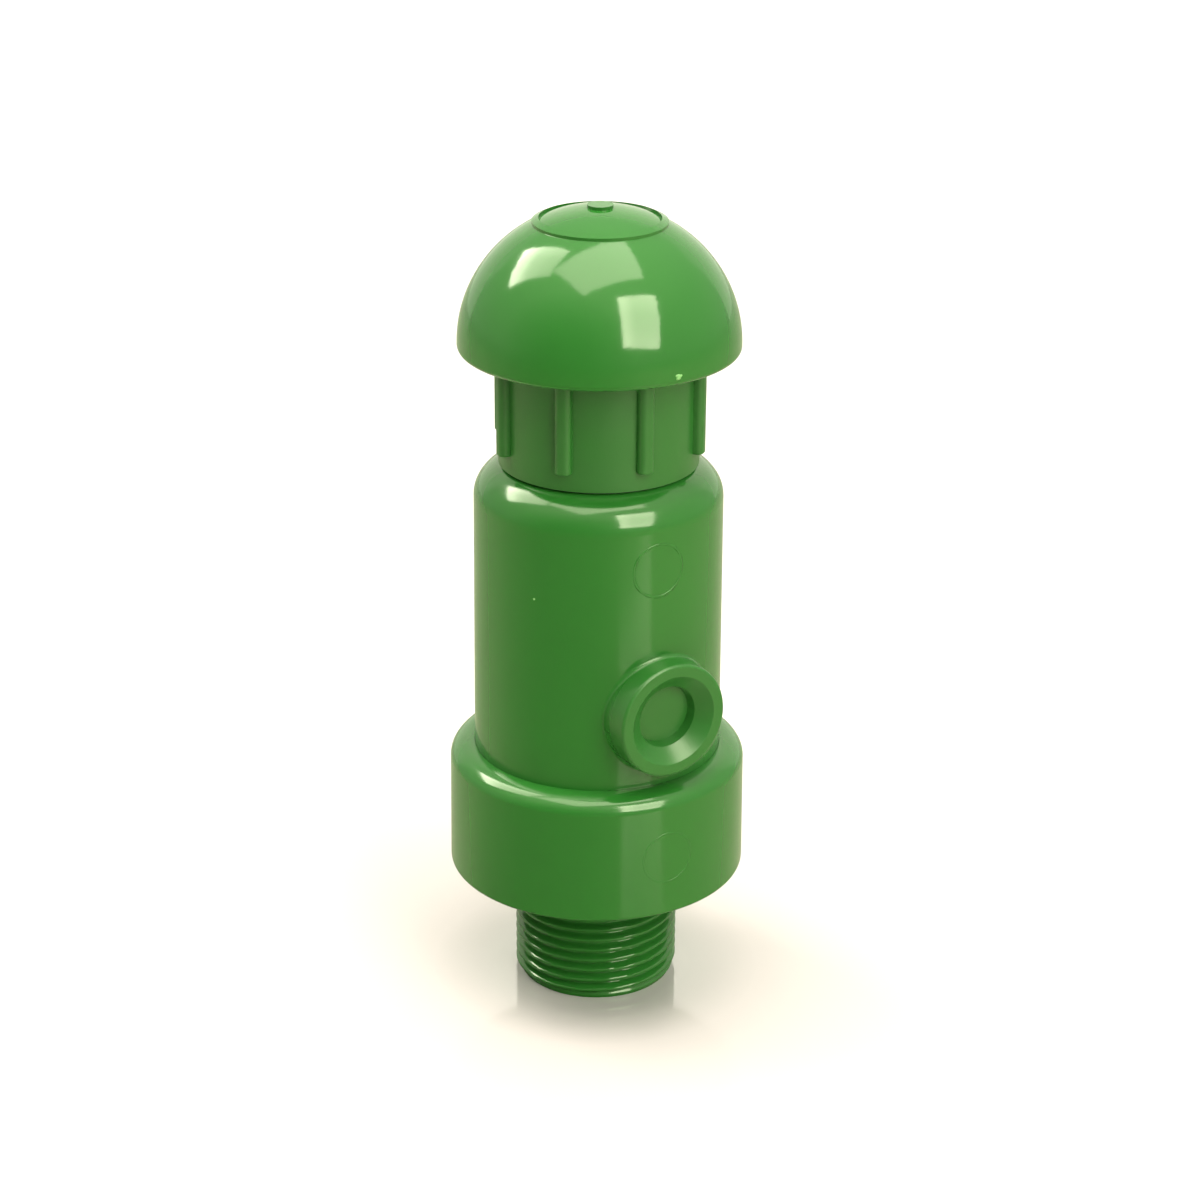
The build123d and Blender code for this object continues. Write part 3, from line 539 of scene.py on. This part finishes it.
def softbox(name, centre, right, up, width, height, glow, edges=(0.0, 0.0, 0.0, 0.0), slope=(0.0, 0.0)):
    """A staged sheet that glows towards the object, brighter by its edges and along a slope.

    The edges are left, right, low and high. The slope is across and along.
    """
    mesh = bpy.data.meshes.new(name)
    half = ((-0.5, -0.5), (0.5, -0.5), (0.5, 0.5), (-0.5, 0.5))
    mesh.from_pydata([(width * u, height * v, 0) for u, v in half], [], [(3, 2, 1, 0)])
    sheet = link(bpy.data.objects.new(name, mesh))
    x = Vector(right).normalized()
    z = x.cross(Vector(up)).normalized()
    turn = Matrix((x, z.cross(x), z)).transposed().to_4x4()
    sheet.matrix_world = SEEN_TURN @ Matrix.Translation(Vector(centre)) @ turn
    mat, tree, _ = new_material(name)
    place = split(tree, object_coords(tree))
    across = math_node(tree, "MULTIPLY", place["X"], 2 / width)
    along = math_node(tree, "MULTIPLY", place["Y"], 2 / height)
    gain = 1.0
    for reach, extra, side in zip((across, across, along, along), edges, (-1.0, 1.0, -1.0, 1.0)):
        gain = math_node(tree, "ADD", gain, remap(tree, reach, 0.0, extra, EDGE_START * side, side))
    lean = math_node(tree, "MULTIPLY_ADD", across, slope[0], 1.0)
    lean = math_node(tree, "MULTIPLY_ADD", along, slope[1], lean)
    behind = tree.nodes.new("ShaderNodeNewGeometry").outputs["Backfacing"]
    front = math_node(tree, "SUBTRACT", 1.0, behind)
    strength = math_node(tree, "MULTIPLY", math_node(tree, "MULTIPLY", gain, lean), front)
    lamp = tree.nodes.new("ShaderNodeEmission")
    lamp.inputs["Color"].default_value = (*WARM, 1)
    tree.links.new(math_node(tree, "MULTIPLY", strength, glow), lamp.inputs["Strength"])
    tree.links.new(lamp.outputs[0], tree.nodes["Material Output"].inputs["Surface"])
    sheet.data.materials.append(mat)


softbox(
    "softbox_right",
    centre=(0.587, -0.734, 0.718),
    right=(0.855, 0.485, -0.181),
    up=(-0.139, 0.552, 0.822),
    width=0.61,
    height=0.855,
    glow=6.75,
    edges=(0.45, 0.05, 0.15, 0.30),
)
softbox(
    "softbox_left",
    centre=(-0.834, 0.326, 1.235),
    right=(-0.669, -0.728, -0.153),
    up=(0.372, -0.505, 0.779),
    width=0.645,
    height=0.86,
    glow=6.2,
    edges=(0.3, 0.0, 0.95, 0.0),
    slope=(-0.08, -0.22),
)
softbox(
    "overhead",
    centre=(-0.005, -0.1135, 1.15),
    right=(0.874, 0.487, 0.0),
    up=(-0.487, 0.874, 0.0),
    width=0.935,
    height=0.676,
    glow=4.5,
    slope=(0.07, 0.0),
)

# A fill from above that adds no highlight of its own
FILL_AT = (0.0, -0.05, 1.1)
fill_data = bpy.data.lights.new("top_fill", "AREA")
fill_data.size = 0.8
fill_data.energy = 6.0
fill_data.color = WARM
fill = link(bpy.data.objects.new("top_fill", fill_data))
fill.matrix_world = SEEN_TURN @ Matrix.Translation(FILL_AT)
fill.visible_glossy = False


# Room: lighter towards the ceiling, darkest low down to the left of the camera. Seen directly it is white
SKY = (0.96, 1.0, 0.80)
ROOM_LOW = 0.61
ROOM_MID = 0.16
ROOM_HIGH = 0.38
HORIZON = 0.5
CEILING = 0.87
DARK_TOWARDS = (-0.453, -0.890, 0.05)
DARKEST = 0.27
DARK_SPREAD = (0.55, 0.97)
world = bpy.data.worlds.new("room")
bpy.context.scene.world = world
world.use_nodes = True
tree = world.node_tree
sky = tree.nodes["Background"]
sky.inputs["Color"].default_value = (*SKY, 1)
direction = tree.nodes.new("ShaderNodeTexCoord").outputs["Generated"]
rise = split(tree, direction)["Z"]
dark_side = vector_node(tree, "DOT_PRODUCT", direction, seen(*DARK_TOWARDS))
low_part = remap(tree, rise, ROOM_LOW, ROOM_LOW + ROOM_MID, 0.0, HORIZON)
high_part = remap(tree, rise, 0.0, ROOM_HIGH, HORIZON, CEILING)
dark_part = remap(tree, dark_side, 1.0, DARKEST, *DARK_SPREAD)
room_glow = math_node(tree, "MULTIPLY", math_node(tree, "ADD", low_part, high_part), dark_part)
tree.links.new(room_glow, sky.inputs["Strength"])
white = tree.nodes.new("ShaderNodeBackground")
white.inputs["Color"].default_value = (*WHITE, 1)
seen_directly = tree.nodes.new("ShaderNodeLightPath").outputs["Is Camera Ray"]
room = mixed_shader(tree, seen_directly, sky.outputs[0], white.outputs[0])
tree.links.new(room, tree.nodes["World Output"].inputs["Surface"])


def panel(name, corners, mat):
    """A flat staged sheet through four corners, given as the photographer sees them."""
    mesh = bpy.data.meshes.new(name)
    mesh.from_pydata([seen(*corner) for corner in corners], [], [(0, 1, 2, 3)])
    sheet = link(bpy.data.objects.new(name, mesh))
    sheet.data.materials.append(mat)


# Backdrop: a white wall behind the object, seen only as a reflection in the floor and on the hood
WALL_AWAY = 1.4
WALL_HALF = 1.6
WALL_TOP = 1.3
WALL_PALE = (0.50, 0.50, 0.45)
WALL_ROUGH = 0.9
WALL_GLOW_TINT = (1.0, 1.0, 0.90)
WALL_GLOW = 0.6
backdrop_mat, tree, shader = new_material("backdrop")
shader.inputs["Base Color"].default_value = (*WALL_PALE, 1)
shader.inputs["Roughness"].default_value = WALL_ROUGH
shader.inputs["Emission Color"].default_value = (*WALL_GLOW_TINT, 1)
seen_directly = tree.nodes.new("ShaderNodeLightPath").outputs["Is Camera Ray"]
wall_glow = math_node(tree, "MULTIPLY_ADD", seen_directly, 1.0 - WALL_GLOW, WALL_GLOW)
tree.links.new(wall_glow, shader.inputs["Emission Strength"])
wall_foot = [(-WALL_HALF, WALL_AWAY, 0), (WALL_HALF, WALL_AWAY, 0)]
wall_top = [(WALL_HALF, WALL_AWAY, WALL_TOP), (-WALL_HALF, WALL_AWAY, WALL_TOP)]
panel("backdrop", wall_foot + wall_top, backdrop_mat)


# Floor: a polished pale sheet. Seen directly it mirrors the backdrop and lies nearly white; in the
# object's own reflections it is dimmer, as the room beyond the sheet was. Distances are from the axis
FLOOR_HALF = 6
FLOOR_PALE = (0.68, 0.66, 0.60)
FLOOR_SEEN = (0.515, 0.470, 0.465)
FLOOR_IN_GLOSS = (0.26, 0.27, 0.185)
FLOOR_IN_SHADE = (0.09, 0.094, 0.064)
SHADE_SPREAD = (0.3, 0.92)
FLOOR_ROUGH = 0.08
FLOOR_SHINE = 0.28
MATT_ROUGH = 0.5
MIRROR_ROUGH = 0.09
FLOOR_MIRROR = 0.30
FLOOR_MIRROR_FAR = 0.03
FLOOR_GLOW_NEAR = 0.05
FLOOR_GLOW_FAR = 0.30
MIRROR_FADE = (0.020, 0.034)
GLOW_RISE = (0.03, 0.12)
GLOW_BEYOND = (0.4, 1.2)
floor_mat, tree, shader = new_material("floor")
path = tree.nodes.new("ShaderNodeLightPath")
coords = object_coords(tree)
from_axis = vector_node(tree, "LENGTH", coords)
bearing = vector_node(tree, "NORMALIZE", coords)
ahead = vector_node(tree, "DOT_PRODUCT", bearing, seen(*DARK_TOWARDS))
in_shade = remap(tree, ahead, 0.0, 1.0, *SHADE_SPREAD)
reflected = mixed_colour(tree, in_shade, (*FLOOR_IN_GLOSS, 1), (*FLOOR_IN_SHADE, 1))
pale = mixed_colour(tree, path.outputs["Is Glossy Ray"], (*FLOOR_PALE, 1), reflected)
tree.links.new(pale, shader.inputs["Base Color"])
shader.inputs["Roughness"].default_value = FLOOR_ROUGH
shader.inputs["Specular IOR Level"].default_value = FLOOR_SHINE

direct = tree.nodes.new("ShaderNodeBsdfPrincipled")
direct.inputs["Base Color"].default_value = (*FLOOR_SEEN, 1)
direct.inputs["Roughness"].default_value = MATT_ROUGH
direct.inputs["Emission Color"].default_value = (*WHITE, 1)
# Seen directly the floor glows, faintly near the axis and more farther out: painted light that whitens it
# beyond the object's shadows
glow = remap(tree, from_axis, FLOOR_GLOW_NEAR, FLOOR_GLOW_FAR, *GLOW_RISE)
beyond = remap(tree, from_axis, 0.0, 1.0 - FLOOR_GLOW_FAR, *GLOW_BEYOND)
tree.links.new(math_node(tree, "ADD", glow, beyond), direct.inputs["Emission Strength"])
mirror = tree.nodes.new("ShaderNodeBsdfAnisotropic")
mirror.inputs["Color"].default_value = (*WHITE, 1)
mirror.inputs["Roughness"].default_value = MIRROR_ROUGH
polish = remap(tree, from_axis, FLOOR_MIRROR, FLOOR_MIRROR_FAR, *MIRROR_FADE)
polished = mixed_shader(tree, polish, direct.outputs[0], mirror.outputs[0])
floor = mixed_shader(tree, path.outputs["Is Camera Ray"], shader.outputs[0], polished)
tree.links.new(floor, tree.nodes["Material Output"].inputs["Surface"])
near_side = [(-FLOOR_HALF, -FLOOR_HALF, 0), (FLOOR_HALF, -FLOOR_HALF, 0)]
far_side = [(FLOOR_HALF, FLOOR_HALF, 0), (-FLOOR_HALF, FLOOR_HALF, 0)]
panel("floor", near_side + far_side, floor_mat)

bpy.context.scene.view_settings.view_transform = "Standard"
